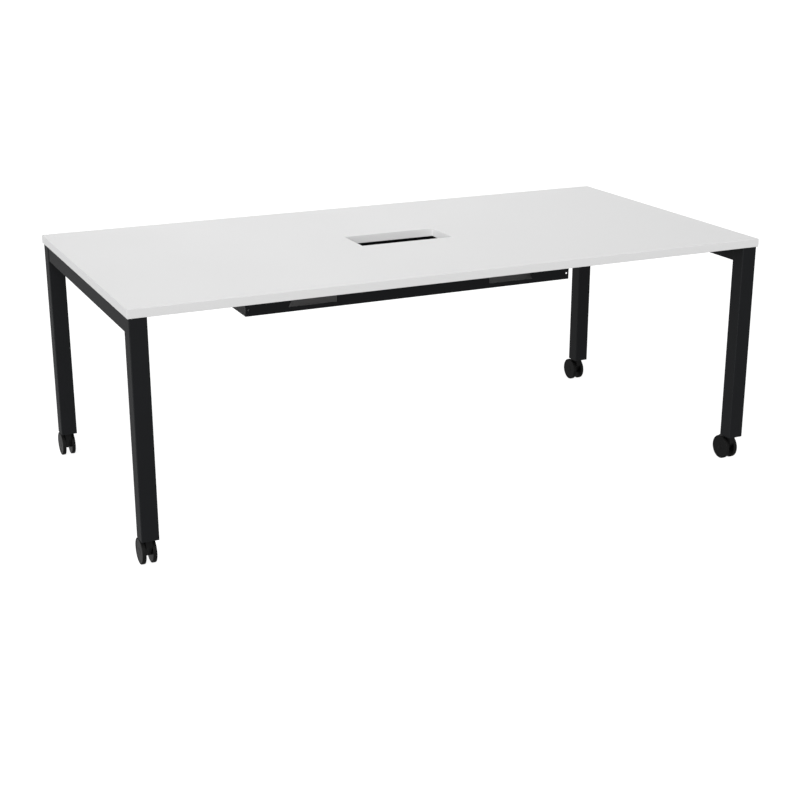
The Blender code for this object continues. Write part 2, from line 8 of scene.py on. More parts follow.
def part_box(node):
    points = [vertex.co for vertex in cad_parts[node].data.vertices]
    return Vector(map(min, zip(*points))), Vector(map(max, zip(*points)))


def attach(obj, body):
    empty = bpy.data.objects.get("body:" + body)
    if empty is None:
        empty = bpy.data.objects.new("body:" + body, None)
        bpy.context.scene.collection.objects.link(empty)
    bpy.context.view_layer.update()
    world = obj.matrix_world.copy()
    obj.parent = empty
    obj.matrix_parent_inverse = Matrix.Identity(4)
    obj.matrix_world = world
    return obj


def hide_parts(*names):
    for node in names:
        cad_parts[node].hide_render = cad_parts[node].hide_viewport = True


# The whole object is in metres, with +Z up. The table's front faces -Y and its right end is at +X.
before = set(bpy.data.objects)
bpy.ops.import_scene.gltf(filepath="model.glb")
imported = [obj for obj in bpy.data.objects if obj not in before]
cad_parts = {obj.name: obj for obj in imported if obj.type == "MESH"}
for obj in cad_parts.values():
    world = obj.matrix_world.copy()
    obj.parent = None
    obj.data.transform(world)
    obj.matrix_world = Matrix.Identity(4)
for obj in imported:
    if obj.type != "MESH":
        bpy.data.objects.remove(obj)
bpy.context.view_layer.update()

ENDS = {"left": -1, "right": 1}
SIDES = {"front": -1, "rear": 1}
CORNERS = [(side, end) for end in ENDS for side in SIDES]

# Camera, from the point of the floor under the middle of the table top
CAMERA_PLACE = Vector((-1.92365, -4.11769, 1.72159))
CAMERA_VIEW = Vector((0.40234, 0.85858, -0.31774))
CAMERA_LENS = 66.76
SENSOR_WIDTH = 36

# Studio: how bright the room is above and below the horizon, and its soft lamps: the way to each,
# its strength, and how narrow it is
WHITE = (1.0, 1.0, 1.0, 1.0)
LIGHT_ABOVE = 0.08
LIGHT_BELOW = 0.40
HORIZON_BLUR = 0.25
LAMPS = (
    ((-0.55, -0.62, 0.56), 2.83, 6.0),
    ((0.0, -0.80, 0.60), 1.39, 6.0),
    ((-0.90, -0.10, 0.43), 2.05, 6.0),
    ((0.60, 0.60, 0.50), 0.25, 6.0),
    ((0.30, 0.93, 0.10), 1.48, 20.0),
)
FLOOR_SIZE = 60.0
FLOOR_GLOW = 0.92
FLOOR_COLOUR = (0.24, 0.24, 0.24, 1.0)

# Board: a faced core with plastic edge bands glued round it and round the cable port
BAND = 0.0020
BAND_ROUND = 0.0010
BAND_STEPS = 4
PORT_BAND = 0.0010
PORT_ROUND = 0.0008
PORT_LENGTH = 0.305
PORT_WIDTH = 0.140
PORT_CORNER = 0.0015
SEAM = 0.00012
CORE_EDGE = 0.00015

# Steel tube: wall, outer corner and the rounding that the coat gives to a sawn end
TUBE_WALL = 0.002
TUBE_CORNER = 0.003
TUBE_CORNER_STEPS = 6
SAWN_EDGE = 0.0003

# Weld beads, below and beside the ends of the rails
BEAD = 0.0016
BEAD_PITCH = 0.0016
BEAD_WAIST = 0.86
BEAD_TIP = 0.5
BEAD_STEPS = 10

# Cable tray, folded from one sheet
TRAY_SHEET = 0.0015
TRAY_WALL_SPACING = 0.242
TRAY_INNER_BEND = 0.0015
BEND_STEPS = 6
WINDOW_FROM_END = 0.134
WINDOW_LENGTH = 0.156
WINDOW_SILL = 0.015
WINDOW_HEIGHT = 0.070
WINDOW_SLANT = math.radians(30)
REAR_WINDOW_FROM_END = 0.015
REAR_WINDOW_LENGTH = 0.405
REAR_WINDOW_HEIGHT = 0.090
WINDOW_CORNER = 0.0015
END_HOLE_RADIUS = 0.003
END_HOLE_FROM_END = 0.0085
END_HOLE_FROM_FLOOR = 0.020
SHEET_EDGE = 0.00020

# Pan head screws with a cross recess. The tip, the thread's crest and root and the recess's taper
# are shares of the radius, of the pitch and of the recess's width.
SCREW_RADIUS = 0.0021
SCREW_HOLE_GAP = 0.0006
SCREW_POINT = 0.003
SCREW_TIP = 0.7
SCREW_PITCH = 0.0018
SCREW_THREAD_DEPTH = 0.00045
THREAD_CREST = 0.3
THREAD_ROOT = 0.9
SCREW_STEPS = 24
HEAD_RADIUS = 0.0045
HEAD_HEIGHT = 0.0026
HEAD_SHOULDER = 0.0002
HEAD_ROUND = 0.0012
HEAD_ROUND_END = -75
HEAD_ROUND_STEPS = 5
HEAD_FLAT_RADIUS = 0.0026
CROSS_ARM = 0.0022
CROSS_HALF_WIDTH = 0.00055
CROSS_DEPTH = 0.0014
CROSS_TAPER = 0.75

# Corner plates
PLATE_TIP = 0.014
PLATE_CORNER = 0.0015

# Sockets in the leg feet
SOCKET_CORNER = 0.0013
SOCKET_BORE = 0.0053
POCKET_INNER = 0.0078
POCKET_OUTER = 0.0198
POCKET_DEPTH = 0.006
POCKET_CORNER = 0.0015
MOULDED_EDGE = 0.00022

# Caster stems with their hexagon collars. A leg's foot rests a seat's gap above the collar.
STEM_RADIUS = 0.005
STEM_CHAMFER = 0.0008
STEM_STEPS = 32
COLLAR_SIDES = 6
COLLAR_ACROSS_FLATS = 0.017
COLLAR_THICKNESS = 0.0022
COLLAR_CHAMFER = 0.0003
SEAT = 0.0003

# Wheels: a moulded disc with a harder tread round it. The cap's dome is given as shares of its
# radius and rise. Patterns that go round are as long as on a ring of one radius.
TREAD_THICKNESS = 0.0042
TREAD_CROWN = 0.00015
TREAD_EDGE = 0.0011
TREAD_EDGE_STEPS = 5
DISC_RIM = 0.0065
DISC_EDGE = 0.0002
DISH_DEPTH = 0.0006
DISH_EDGE = 0.0001
DISH_STEPS = 4
CAP_RADIUS = 0.0095
CAP_DOME = ((0.6, 0.9), (0.93, 0.4))
CAP_GROOVE = 0.0004
CAP_RISE = 0.0003
BORE_RADIUS = 0.0043
BORE_DEPTH = 0.0078
WHEEL_STEPS = 96
RING_RADIUS = 0.05

# Brake levers: ridges across the tread, along its curve round the axle
LEVER_REACH = 0.0400
LEVER_SMALLEST_SIDE = 0.0003
RIDGE_ANGLES = (45, 50, 55, 60, 65)
RIDGE_RADIUS = 0.0006
RIDGE_LENGTH = 0.0140
RIDGE_DOME = 60
RIDGE_DOME_STEPS = 3
RIDGE_STEPS = 12

# Colours
FACING_WHITE = (0.76, 0.76, 0.76)
FACING_DULLER = (0.757, 0.757, 0.757)
FACING_BRIGHTER = (0.763, 0.763, 0.763)
# The edge bands and the port's lining are one white plastic given two colours: the bands' white is
# darker, a painted shade on the board's outer edges.
EDGING_WHITE_PAINTED_SHADE = (0.67, 0.67, 0.67)
# The lining's white is lighter, painted light on the port's walls.
LINING_WHITE_PAINTED_LIGHT = (0.725, 0.725, 0.725)
FRAME_BLACK = (0.0038, 0.0044, 0.0056)
FRAME_WORN = (0.02, 0.02, 0.021)
TRAY_BLACK = (0.0046, 0.0054, 0.0072)
TRAY_WORN = (0.02, 0.02, 0.022)
COAT_CLOUD = 0.85
NYLON_BLACK = (0.004, 0.004, 0.0042)
NYLON_WORN = (0.014, 0.014, 0.014)
DISC_BLACK = (0.0025, 0.0025, 0.0026)
TREAD_BLACK = (0.004, 0.004, 0.004)
TREAD_DUST = (0.016, 0.0155, 0.015)
ZINC_GREY = (0.52, 0.54, 0.56)
ZINC_DARKER = (0.47, 0.49, 0.52)
ZINC_LIGHTER = (0.57, 0.58, 0.59)

# Corners, holes and softened edges of all pieces. Sides are one where they turn less than FLAT,
# edges are rounded where they turn more than SHARP, and those of sheet metal more than SHEARED.
CORNER_STEPS = 4
HOLE_STEPS = 24
SOFT_STEPS = 2
MERGE = 0.00001
FLAT = math.radians(1)
SHARP = math.radians(35)
SHEARED = math.radians(60)


# Shapes

def node_box(name):
    low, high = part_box(name)
    return Vector(low), Vector(high)


def middle_of(name):
    low, high = node_box(name)
    return (low + high) / 2


def foot_of(low, high):
    """The middle of a box's lower side."""
    return Vector(((low.x + high.x) / 2, (low.y + high.y) / 2, low.z))


def new_shape():
    """An empty mesh under construction, with a value on each point for how worn it is."""
    bm = bmesh.new()
    bm.verts.layers.float.new("wear")
    return bm


def move(bm, offset, verts=None):
    bmesh.ops.translate(bm, vec=offset, verts=verts or bm.verts[:])


def turn(bm, angle, axis):
    bmesh.ops.rotate(bm, cent=(0, 0, 0), matrix=Matrix.Rotation(angle, 3, axis), verts=bm.verts[:])


def span(edge):
    return edge.verts[0].co - edge.verts[1].co


def bevel(bm, parts, width, steps, affect="EDGES"):
    return bmesh.ops.bevel(bm, geom=parts, offset=width, segments=steps, profile=0.5,
                           affect=affect, material=-1)


def close_up(bm):
    bmesh.ops.remove_doubles(bm, verts=bm.verts[:], dist=MERGE)
    bmesh.ops.recalc_face_normals(bm, faces=bm.faces[:])


def soften(bm, width):
    """Rounds the sharp edges, and marks the middle of each rounding as worn."""
    close_up(bm)
    made = bevel(bm, [edge for edge in bm.edges
                      if len(edge.link_faces) == 2 and edge.calc_face_angle(0) > SHARP],
                 width, SOFT_STEPS)
    rounding = set(made["faces"])
    wear = bm.verts.layers.float["wear"]
    for vert in made["verts"]:
        if all(face in rounding for face in vert.link_faces):
            vert[wear] = 1.0


def block(low, high):
    bm = new_shape()
    bmesh.ops.create_cube(bm, size=1.0)
    bmesh.ops.scale(bm, vec=high - low, verts=bm.verts[:])
    move(bm, (low + high) / 2)
    return bm


def add_outline(bm, corners, radius=0.0):
    """A closed outline in the XY plane with straight sides, and rounded corners if asked."""
    known = set(bm.edges)
    verts = [bm.verts.new((x, y, 0)) for x, y in corners]
    for pair in zip(verts, verts[1:] + verts[:1]):
        bm.edges.new(pair)
    if radius > 0:
        bevel(bm, verts, radius, CORNER_STEPS, "VERTICES")
    return [edge for edge in bm.edges if edge not in known]


def add_circle(bm, centre, radius, steps=HOLE_STEPS):
    made = bmesh.ops.create_circle(bm, cap_ends=False, segments=steps, radius=radius)
    bmesh.ops.translate(bm, vec=(*centre, 0), verts=made["verts"])
    return list({edge for vert in made["verts"] for edge in vert.link_edges})


def rectangle(half_length, half_width):
    return ((-half_length, -half_width), (half_length, -half_width), (half_length, half_width),
            (-half_length, half_width))


def fill(bm, *outlines):
    """Fills the first outline, and leaves the others open in it as holes."""
    edges = [edge for outline in outlines for edge in outline]
    bmesh.ops.triangle_fill(bm, use_beauty=True, use_dissolve=False, edges=edges)


def pull(bm, edges, offset):
    """Draws a wall out of an outline, and gives the edges at its far side."""
    made = bmesh.ops.extrude_edge_only(bm, edges=edges)["geom"]
    move(bm, offset, [item for item in made if isinstance(item, bmesh.types.BMVert)])
    return [item for item in made if isinstance(item, bmesh.types.BMEdge)]


def thicken(bm, offset):
    """Makes a flat sheet into a solid plate."""
    made = bmesh.ops.extrude_face_region(bm, geom=bm.faces[:])["geom"]
    move(bm, offset, [item for item in made if isinstance(item, bmesh.types.BMVert)])


def turned(profile, steps):
    """A round shape on the Z axis from the radius and height of each point of its outline."""
    bm = new_shape()
    verts = [bm.verts.new((radius, 0, height)) for radius, height in profile]
    edges = [bm.edges.new(pair) for pair in zip(verts, verts[1:])]
    bmesh.ops.spin(bm, geom=verts + edges, cent=(0, 0, 0), axis=(0, 0, 1), angle=math.tau,
                   steps=steps, use_merge=True)
    close_up(bm)
    return bm


def arc(centre, radius, start, end, steps):
    """Points along a part of a circle, between two angles in degrees."""
    angles = [math.radians(start + (end - start) * step / steps) for step in range(steps + 1)]
    return [(centre[0] + radius * math.cos(a), centre[1] + radius * math.sin(a)) for a in angles]


def join(bm, other):
    """Adds another shape to this one, and is the end of that other one."""
    mesh = bpy.data.meshes.new("joined")
    other.to_mesh(mesh)
    other.free()
    bm.from_mesh(mesh)
    bpy.data.meshes.remove(mesh)


def tube(width, depth, length):
    """A square tube along Z from the floor of its own frame, open at both ends."""
    bm = block(Vector((-width / 2, -depth / 2, 0)), Vector((width / 2, depth / 2, length)))
    ends = [face for face in bm.faces if abs(face.normal.z) > 0.5]
    bmesh.ops.delete(bm, geom=ends, context="FACES_ONLY")
    upright = [edge for edge in bm.edges if abs(span(edge).z) > length / 2]
    bevel(bm, upright, TUBE_CORNER, TUBE_CORNER_STEPS)
    bmesh.ops.recalc_face_normals(bm, faces=bm.faces[:])
    bmesh.ops.solidify(bm, geom=bm.faces[:], thickness=TUBE_WALL)
    soften(bm, SAWN_EDGE)
    return bm


def copied(node, edge, smallest_side=MERGE):
    """A node's own shape, its flat sides in one face each and its sharp edges rounded."""
    bm = new_shape()
    bm.from_mesh(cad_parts[node].data)
    bmesh.ops.remove_doubles(bm, verts=bm.verts[:], dist=MERGE)
    bmesh.ops.dissolve_degenerate(bm, dist=smallest_side, edges=bm.edges[:])
    bmesh.ops.dissolve_limit(bm, angle_limit=FLAT, verts=bm.verts[:], edges=bm.edges[:])
    soften(bm, edge)
    return bm


def add_piece(name, bm, body, finish, stands_for=(), sheet=0.0):
    """Makes a finished shape a piece that moves with a body. A sheet's skin gets its thickness."""
    close_up(bm)
    if sheet:
        face_down(bm)
    mesh = bpy.data.meshes.new(name)
    bm.to_mesh(mesh)
    bm.free()
    mesh.shade_smooth()
    mesh.set_sharp_from_angle(angle=SHARP)
    mesh.materials.append(finish)
    piece = bpy.data.objects.new(name, mesh)
    bpy.context.scene.collection.objects.link(piece)
    if sheet:
        give_thickness(piece, sheet)
    even = piece.modifiers.new("even_sides", "WEIGHTED_NORMAL")
    even.keep_sharp = True
    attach(piece, body)
    if stands_for:
        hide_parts(*stands_for)


def face_down(bm):
    """Turns an open skin so that its lowest face looks down, and with it its outer side out."""
    lowest = min(bm.faces, key=lambda face: face.calc_center_median().z)
    if lowest.normal.z > 0:
        bmesh.ops.reverse_faces(bm, faces=bm.faces[:])


def give_thickness(piece, thickness):
    """Makes a folded skin, which is the outer side, into sheet metal with softened edges."""
    sheet = piece.modifiers.new("sheet", "SOLIDIFY")
    sheet.thickness = thickness
    sheet.offset = -1
    sheet.use_even_offset = True
    edge = piece.modifiers.new("edge", "BEVEL")
    edge.width = SHEET_EDGE
    edge.segments = SOFT_STEPS
    edge.limit_method = "ANGLE"
    edge.angle_limit = SHEARED
    edge.harden_normals = False


# Finishes

class Finish:
    """A material with one Principled shader, and the few kinds of pattern that finishes use."""

    def __init__(self, name, slot, colour, roughness, metallic=0.0, specular=0.5):
        self.material = bpy.data.materials.new(name)
        self.material.use_nodes = True
        self.material["slot"] = slot
        self.tree = self.material.node_tree
        self.shader = self.tree.nodes["Principled BSDF"]
        self.set("Base Color", (*colour, 1.0))
        self.set("Roughness", roughness)
        self.set("Metallic", metallic)
        self.set("Specular IOR Level", specular)
        self.place = self.tree.nodes.new("ShaderNodeTexCoord").outputs["Object"]

    def set(self, socket, value):
        self.shader.inputs[socket].default_value = value

    def link(self, source, socket):
        self.tree.links.new(source, self.shader.inputs[socket])

    def attribute(self, name, output="Fac"):
        node = self.tree.nodes.new("ShaderNodeAttribute")
        node.attribute_name = name
        return node.outputs[output]

    def stretched(self, place, scale):
        node = self.tree.nodes.new("ShaderNodeMapping")
        self.tree.links.new(place, node.inputs["Vector"])
        node.inputs["Scale"].default_value = scale
        return node.outputs["Vector"]

    def noise(self, grain, detail=2.0, place=None):
        """A noise whose grains are this wide, in metres."""
        node = self.tree.nodes.new("ShaderNodeTexNoise")
        self.tree.links.new(place or self.place, node.inputs["Vector"])
        node.inputs["Scale"].default_value = 1 / grain
        node.inputs["Detail"].default_value = detail
        return node.outputs["Fac"]

    def spread(self, source, low, high, to=(0.0, 1.0)):
        """The part of a source between low and high, spread over another range."""
        node = self.tree.nodes.new("ShaderNodeMapRange")
        self.tree.links.new(source, node.inputs["Value"])
        node.inputs["From Min"].default_value = low
        node.inputs["From Max"].default_value = high
        node.inputs["To Min"].default_value, node.inputs["To Max"].default_value = to
        return node.outputs["Result"]

    def between(self, amount, first, second):
        """A value that goes from the first to the second as the amount goes from 0 to 1."""
        return self.spread(amount, 0.0, 1.0, to=(first, second))

    def less(self, first, second):
        node = self.tree.nodes.new("ShaderNodeMath")
        node.operation = "SUBTRACT"
        self.tree.links.new(first, node.inputs[0])
        self.tree.links.new(second, node.inputs[1])
        return node.outputs["Value"]

    def blend(self, amount, first, second):
        """A colour from the first to the second, each of them a colour or another pattern."""
        node = self.tree.nodes.new("ShaderNodeMix")
        node.data_type = "RGBA"
        self.tree.links.new(amount, node.inputs["Factor"])
        for name, value in (("A", first), ("B", second)):
            socket = [item for item in node.inputs if item.name == name and item.type == "RGBA"][0]
            if isinstance(value, tuple):
                socket.default_value = (*value, 1.0)
            else:
                self.tree.links.new(value, socket)
        return [item for item in node.outputs if item.type == "RGBA"][0]

    def bump(self, height, depth, strength):
        """Raises the surface by this depth, in metres, where the height is 1."""
        node = self.tree.nodes.new("ShaderNodeBump")
        node.inputs["Distance"].default_value = depth
        node.inputs["Strength"].default_value = strength
        self.tree.links.new(height, node.inputs["Height"])
        self.link(node.outputs["Normal"], "Normal")


def white_melamine():
    """Satin white facing: a fine pearl in the surface, and faint hazy patches of handling."""
    finish = Finish("white_melamine", "white_board", FACING_WHITE, roughness=0.42, specular=0.4)
    patches = finish.spread(finish.noise(grain=0.35, detail=3.0), low=0.35, high=0.65)
    finish.link(finish.blend(patches, FACING_DULLER, FACING_BRIGHTER), "Base Color")
    finish.link(finish.between(patches, 0.40, 0.45), "Roughness")
    finish.bump(finish.noise(grain=0.0006), depth=0.000012, strength=0.6)
    return finish.material


def white_plastic(name, colour):
    """Plastic band, a little smoother than the board, with fine lines along its length."""
    finish = Finish(name, "white_board", colour, roughness=0.38, specular=0.4)
    along = finish.stretched(finish.place, scale=(0.04, 0.04, 1.0))
    lines = finish.noise(grain=0.0008, detail=1.0, place=along)
    finish.link(finish.spread(lines, low=0.3, high=0.7, to=(0.36, 0.44)), "Roughness")
    finish.bump(lines, depth=0.000008, strength=0.5)
    return finish.material


def powder_coat(name, slot, colour, worn_colour):
    """Fine-textured black powder coat, thinner and smoother on its edges."""
    finish = Finish(name, slot, colour, roughness=0.52, specular=0.25)
    wear = finish.attribute("wear")
    clouds = finish.spread(finish.noise(grain=0.06, detail=3.0), low=0.3, high=0.7)
    deeper = tuple(COAT_CLOUD * value for value in colour)
    coat = finish.blend(clouds, deeper, colour)
    finish.link(finish.blend(finish.between(wear, 0.0, 0.6), coat, worn_colour), "Base Color")
    speckle = finish.spread(finish.noise(grain=0.0009), low=0.3, high=0.7, to=(0.42, 0.52))
    finish.link(finish.less(speckle, finish.between(wear, 0.0, 0.12)), "Roughness")
    finish.bump(finish.noise(grain=0.0005), depth=0.00003, strength=0.7)
    return finish.material


def moulded_nylon():
    """Black nylon with the fine spark texture of its mould."""
    finish = Finish("moulded_nylon", "black_nylon", NYLON_BLACK, roughness=0.50, specular=0.2)
    worn = finish.between(finish.attribute("wear"), 0.0, 0.5)
    finish.link(finish.blend(worn, NYLON_BLACK, NYLON_WORN), "Base Color")
    sparks = finish.noise(grain=0.002, detail=3.0)
    finish.link(finish.spread(sparks, low=0.3, high=0.7, to=(0.44, 0.56)), "Roughness")
    finish.bump(finish.noise(grain=0.0003), depth=0.00002, strength=0.7)
    return finish.material


def wheel_disc():
    """Smooth black moulding with faint turning lines round its middle."""
    finish = Finish("wheel_disc", "black_wheel", DISC_BLACK, roughness=0.31, specular=0.15)
    round_it = finish.stretched(finish.attribute("ring", "Vector"), scale=(1.0, 0.02, 1.0))
    rings = finish.noise(grain=0.0012, detail=1.0, place=round_it)
    finish.link(finish.spread(rings, low=0.3, high=0.7, to=(0.27, 0.35)), "Roughness")
    finish.bump(rings, depth=0.00001, strength=0.5)
    return finish.material


def wheel_tread():
    """Hard black tread with dust in its scuffs, which run round the wheel."""
    finish = Finish("wheel_tread", "black_wheel", TREAD_BLACK, roughness=0.62, specular=0.15)
    round_it = finish.stretched(finish.attribute("ring", "Vector"), scale=(1.0, 0.06, 1.0))
    scuffs = finish.spread(finish.noise(grain=0.0015, detail=4.0, place=round_it),
                           low=0.52, high=0.72)
    dust = finish.between(scuffs, 0.0, 0.5)
    finish.link(finish.blend(dust, TREAD_BLACK, TREAD_DUST), "Base Color")
    finish.link(finish.between(scuffs, 0.58, 0.75), "Roughness")
    finish.bump(scuffs, depth=0.00003, strength=0.6)
    return finish.material


def zinc_plate():
    """Zinc plated steel: slightly blue, with a mottled dull sheen and lines from turning."""
    finish = Finish("zinc_plate", "zinc_steel", ZINC_GREY, roughness=0.36, metallic=1.0)
    mottle = finish.spread(finish.noise(grain=0.003, detail=3.0), low=0.35, high=0.65)
    finish.link(finish.blend(mottle, ZINC_DARKER, ZINC_LIGHTER), "Base Color")
    finish.link(finish.between(mottle, 0.30, 0.44), "Roughness")
    along = finish.stretched(finish.place, scale=(0.1, 0.1, 1.0))
    lines = finish.noise(grain=0.0004, detail=1.0, place=along)
    finish.bump(lines, depth=0.00001, strength=0.5)
    return finish.material


# The table's pieces

def make_board():
    """The faced core, with its port, a gap away from the bands that are glued round it."""
    low, high = node_box("table_top")
    middle = (low + high) / 2
    half = (high - low) / 2
    top = middle + Vector((0, 0, half.z))
    inset = BAND + SEAM
    bm = new_shape()
    rim = add_outline(bm, rectangle(half.x - inset, half.y - inset))
    port = add_outline(bm, rectangle(PORT_LENGTH / 2 + PORT_BAND + SEAM,
                                     PORT_WIDTH / 2 + PORT_BAND + SEAM), PORT_CORNER + PORT_BAND)
    fill(bm, rim, port)
    thicken(bm, (0, 0, -2 * half.z))
    move(bm, top)
    soften(bm, CORE_EDGE)
    add_piece("board_core", bm, "table", white_board, ["table_top"])
    for name, (band_low, band_high) in edge_bands(low, high).items():
        make_edge_band(name, band_low, band_high, middle)
    make_port_band(top, 2 * half.z)


def edge_bands(low, high):
    """The bands' own boxes: the long ones cover the ends of the short ones."""
    front, rear = low.y + BAND, high.y - BAND
    start, end = front + SEAM, rear - SEAM
    return {
        "front": (low, Vector((high.x, front, high.z))),
        "rear": (Vector((low.x, rear, low.z)), high),
        "left": (Vector((low.x, start, low.z)), Vector((low.x + BAND, end, high.z))),
        "right": (Vector((high.x - BAND, start, low.z)), Vector((high.x, end, high.z))),
    }


def make_edge_band(name, low, high, middle):
    """A strip whose edges on the outside of the table are rounded."""
    bm = block(low, high)
    across = 1 if name in SIDES else 0
    outer = (low if (low[across] + high[across]) / 2 < middle[across] else high)[across]
    on_face = [edge for edge in bm.edges
               if all(abs(vert.co[across] - outer) < MERGE for vert in edge.verts)]
    if name in ENDS:
        on_face = [edge for edge in on_face if abs(span(edge).y) > BAND]
    bevel(bm, on_face, BAND_ROUND, BAND_STEPS)
    add_piece(f"edge_band_{name}", bm, "table", edging)


def make_port_band(top, thickness):
    """The ring that lines the port, rounded towards the hand at its top and bottom."""
    half_length, half_width = PORT_LENGTH / 2, PORT_WIDTH / 2
    bm = new_shape()
    inner = add_outline(bm, rectangle(half_length, half_width), PORT_CORNER)
    outer = add_outline(bm, rectangle(half_length + PORT_BAND, half_width + PORT_BAND),
                        PORT_CORNER + PORT_BAND)
    fill(bm, outer, inner)
    thicken(bm, (0, 0, -thickness))
    close_up(bm)
    inside = [edge for edge in bm.edges
              if edge.calc_face_angle(0) > SHARP
              and all(abs(vert.co.x) < half_length + MERGE and abs(vert.co.y) < half_width + MERGE
                      for vert in edge.verts)]
    bevel(bm, inside, PORT_ROUND, BAND_STEPS)
    move(bm, top)
    add_piece("port_band", bm, "table", lining)


def make_legs():
    for side, end in CORNERS:
        low, high = node_box(f"leg_{side}_{end}")
        size = high - low
        bm = tube(size.x, size.y, size.z)
        move(bm, foot_of(low, high))
        add_piece(f"leg_tube_{side}_{end}", bm, "table", frame_coat, [f"leg_{side}_{end}"])


def make_end_rails():
    """The rails between the legs of each end, welded to the legs below and on their inner side."""
    for end, sign in ENDS.items():
        low, high = node_box(f"end_rail_{end}")
        size = high - low
        bm = tube(size.x, size.z, size.y)
        turn(bm, -math.pi / 2, "X")
        move(bm, Vector(((low.x + high.x) / 2, low.y, (low.z + high.z) / 2)))
        add_piece(f"end_rail_tube_{end}", bm, "table", frame_coat, [f"end_rail_{end}"])
        inner, outer = (low.x, high.x) if sign > 0 else (high.x, low.x)
        for side, at in (("front", low.y), ("rear", high.y)):
            corner = Vector((inner, at, low.z))
            add_bead(f"weld_{side}_{end}_under", corner, Vector((outer, at, low.z)))
            add_bead(f"weld_{side}_{end}_inside", corner, Vector((inner, at, high.z)))


def make_long_rails():
    """The hidden rails from end to end, welded to the end rails below and on both sides."""
    for side in SIDES:
        low, high = node_box(f"long_rail_{side}")
        size = high - low
        bm = tube(size.z, size.y, size.x)
        turn(bm, math.pi / 2, "Y")
        move(bm, Vector((low.x, (low.y + high.y) / 2, (low.z + high.z) / 2)))
        add_piece(f"long_rail_tube_{side}", bm, "table", frame_coat, [f"long_rail_{side}"])
        for end, at in (("left", low.x), ("right", high.x)):
            weld = f"weld_rail_{side}_{end}"
            add_bead(f"{weld}_under", Vector((at, low.y, low.z)), Vector((at, high.y, low.z)))
            for face, y in (("front", low.y), ("rear", high.y)):
                add_bead(f"{weld}_{face}", Vector((at, y, low.z)), Vector((at, y, high.z)))


def add_bead(name, start, end):
    """A weld bead whose rings swell and draw in, as the ripples of a weld do."""
    along = end - start
    inset = along.normalized() * BEAD
    start, along = start + inset, along - 2 * inset
    rings = 2 * round(along.length / BEAD_PITCH)
    profile = [(0, 0), (BEAD * BEAD_TIP, 0)]
    for ring in range(rings):
        size = BEAD * (BEAD_WAIST if ring % 2 else 1.0)
        profile.append((size, along.length * (ring + 1) / (rings + 1)))
    profile += [(BEAD * BEAD_TIP, along.length), (0, along.length)]
    bm = turned(profile, BEAD_STEPS)
    bm.transform(Matrix.Translation(start) @ along.to_track_quat("Z", "Y").to_matrix().to_4x4())
    add_piece(name, bm, "table", frame_coat)


def make_corner_plates():
    for side, end in CORNERS:
        node = f"corner_plate_{side}_{end}"
        low, high = node_box(node)
        reach = high.x - low.x
        corner = (high.x if end == "right" else low.x, high.y if side == "rear" else low.y)
        inwards = (-ENDS[end], -SIDES[side])
        shape = ((0, 0), (reach, 0), (reach, PLATE_TIP), (PLATE_TIP, reach), (0, reach))
        bm = new_shape()
        rim = add_outline(bm, [(corner[0] + inwards[0] * a, corner[1] + inwards[1] * b)
                               for a, b in shape], PLATE_CORNER)
        holes = [add_circle(bm, middle_of(f"plate_screw_{side}_{end}_{number}").xy,
                            SCREW_RADIUS + SCREW_HOLE_GAP) for number in (1, 2)]
        fill(bm, rim, *holes)
        thicken(bm, (0, 0, high.z - low.z))
        move(bm, Vector((0, 0, low.z)))
        soften(bm, SHEET_EDGE)
        add_piece(f"plate_{side}_{end}", bm, "table", frame_coat, [node])


def make_screws():
    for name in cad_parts:
        if "screw" in name:
            low, high = node_box(name)
            bm = screw_shape(high.z - low.z)
            move(bm, foot_of(low, high))
            add_piece(f"pan_head_{name}", bm, "table", zinc, [name])


def screw_shape(height):
    """A screw that points up, with a domed head round its cross recess."""
    turns = int((height - HEAD_HEIGHT - SCREW_POINT) / SCREW_PITCH)
    profile = [(0, height), (SCREW_RADIUS * SCREW_TIP, height - SCREW_POINT)]
    for number in range(turns):
        top = height - SCREW_POINT - number * SCREW_PITCH
        profile += [(SCREW_RADIUS, top - SCREW_PITCH * THREAD_CREST),
                    (SCREW_RADIUS - SCREW_THREAD_DEPTH, top - SCREW_PITCH * THREAD_ROOT)]
    profile += [(SCREW_RADIUS, HEAD_HEIGHT), (HEAD_RADIUS - HEAD_SHOULDER, HEAD_HEIGHT)]
    profile += arc((HEAD_RADIUS - HEAD_ROUND, HEAD_HEIGHT - HEAD_ROUND), HEAD_ROUND,
                   0, HEAD_ROUND_END, HEAD_ROUND_STEPS)
    bm = turned([*profile, (HEAD_FLAT_RADIUS, 0)], SCREW_STEPS)
    rim = [edge for edge in bm.edges if edge.is_boundary]
    recess = add_outline(bm, cross_outline())
    fill(bm, rim, recess)
    floor = pull(bm, recess, (0, 0, CROSS_DEPTH))
    bmesh.ops.scale(bm, vec=(CROSS_TAPER, CROSS_TAPER, 1),
                    verts=list({vert for edge in floor for vert in edge.verts}))
    bmesh.ops.contextual_create(bm, geom=floor)
    return bm


def cross_outline():
    """The recess's outline, an arm at a time."""
    arm, half = CROSS_ARM, CROSS_HALF_WIDTH
    return [tuple(Matrix.Rotation(step * math.pi / 2, 2) @ Vector(point))
            for step in range(4) for point in ((arm, -half), (arm, half), (half, half))]


def make_tray():
    """One folded sheet: the outer side of its two halves, joined and then given its thickness."""
    low, high = node_box("cable_tray")
    half_length = (high.x - low.x) / 2
    front = window_outline(half_length, WINDOW_FROM_END, WINDOW_LENGTH, WINDOW_HEIGHT,
                           WINDOW_SLANT)
    rear = window_outline(half_length, REAR_WINDOW_FROM_END, REAR_WINDOW_LENGTH,
                          REAR_WINDOW_HEIGHT, 0.0)
    bm = tray_half(low, high, front)
    turn(bm, math.pi, "Z")
    join(bm, tray_half(low, high, rear))
    move(bm, foot_of(low, high))
    add_piece("folded_tray", bm, "table", tray_coat, ["cable_tray"], TRAY_SHEET)


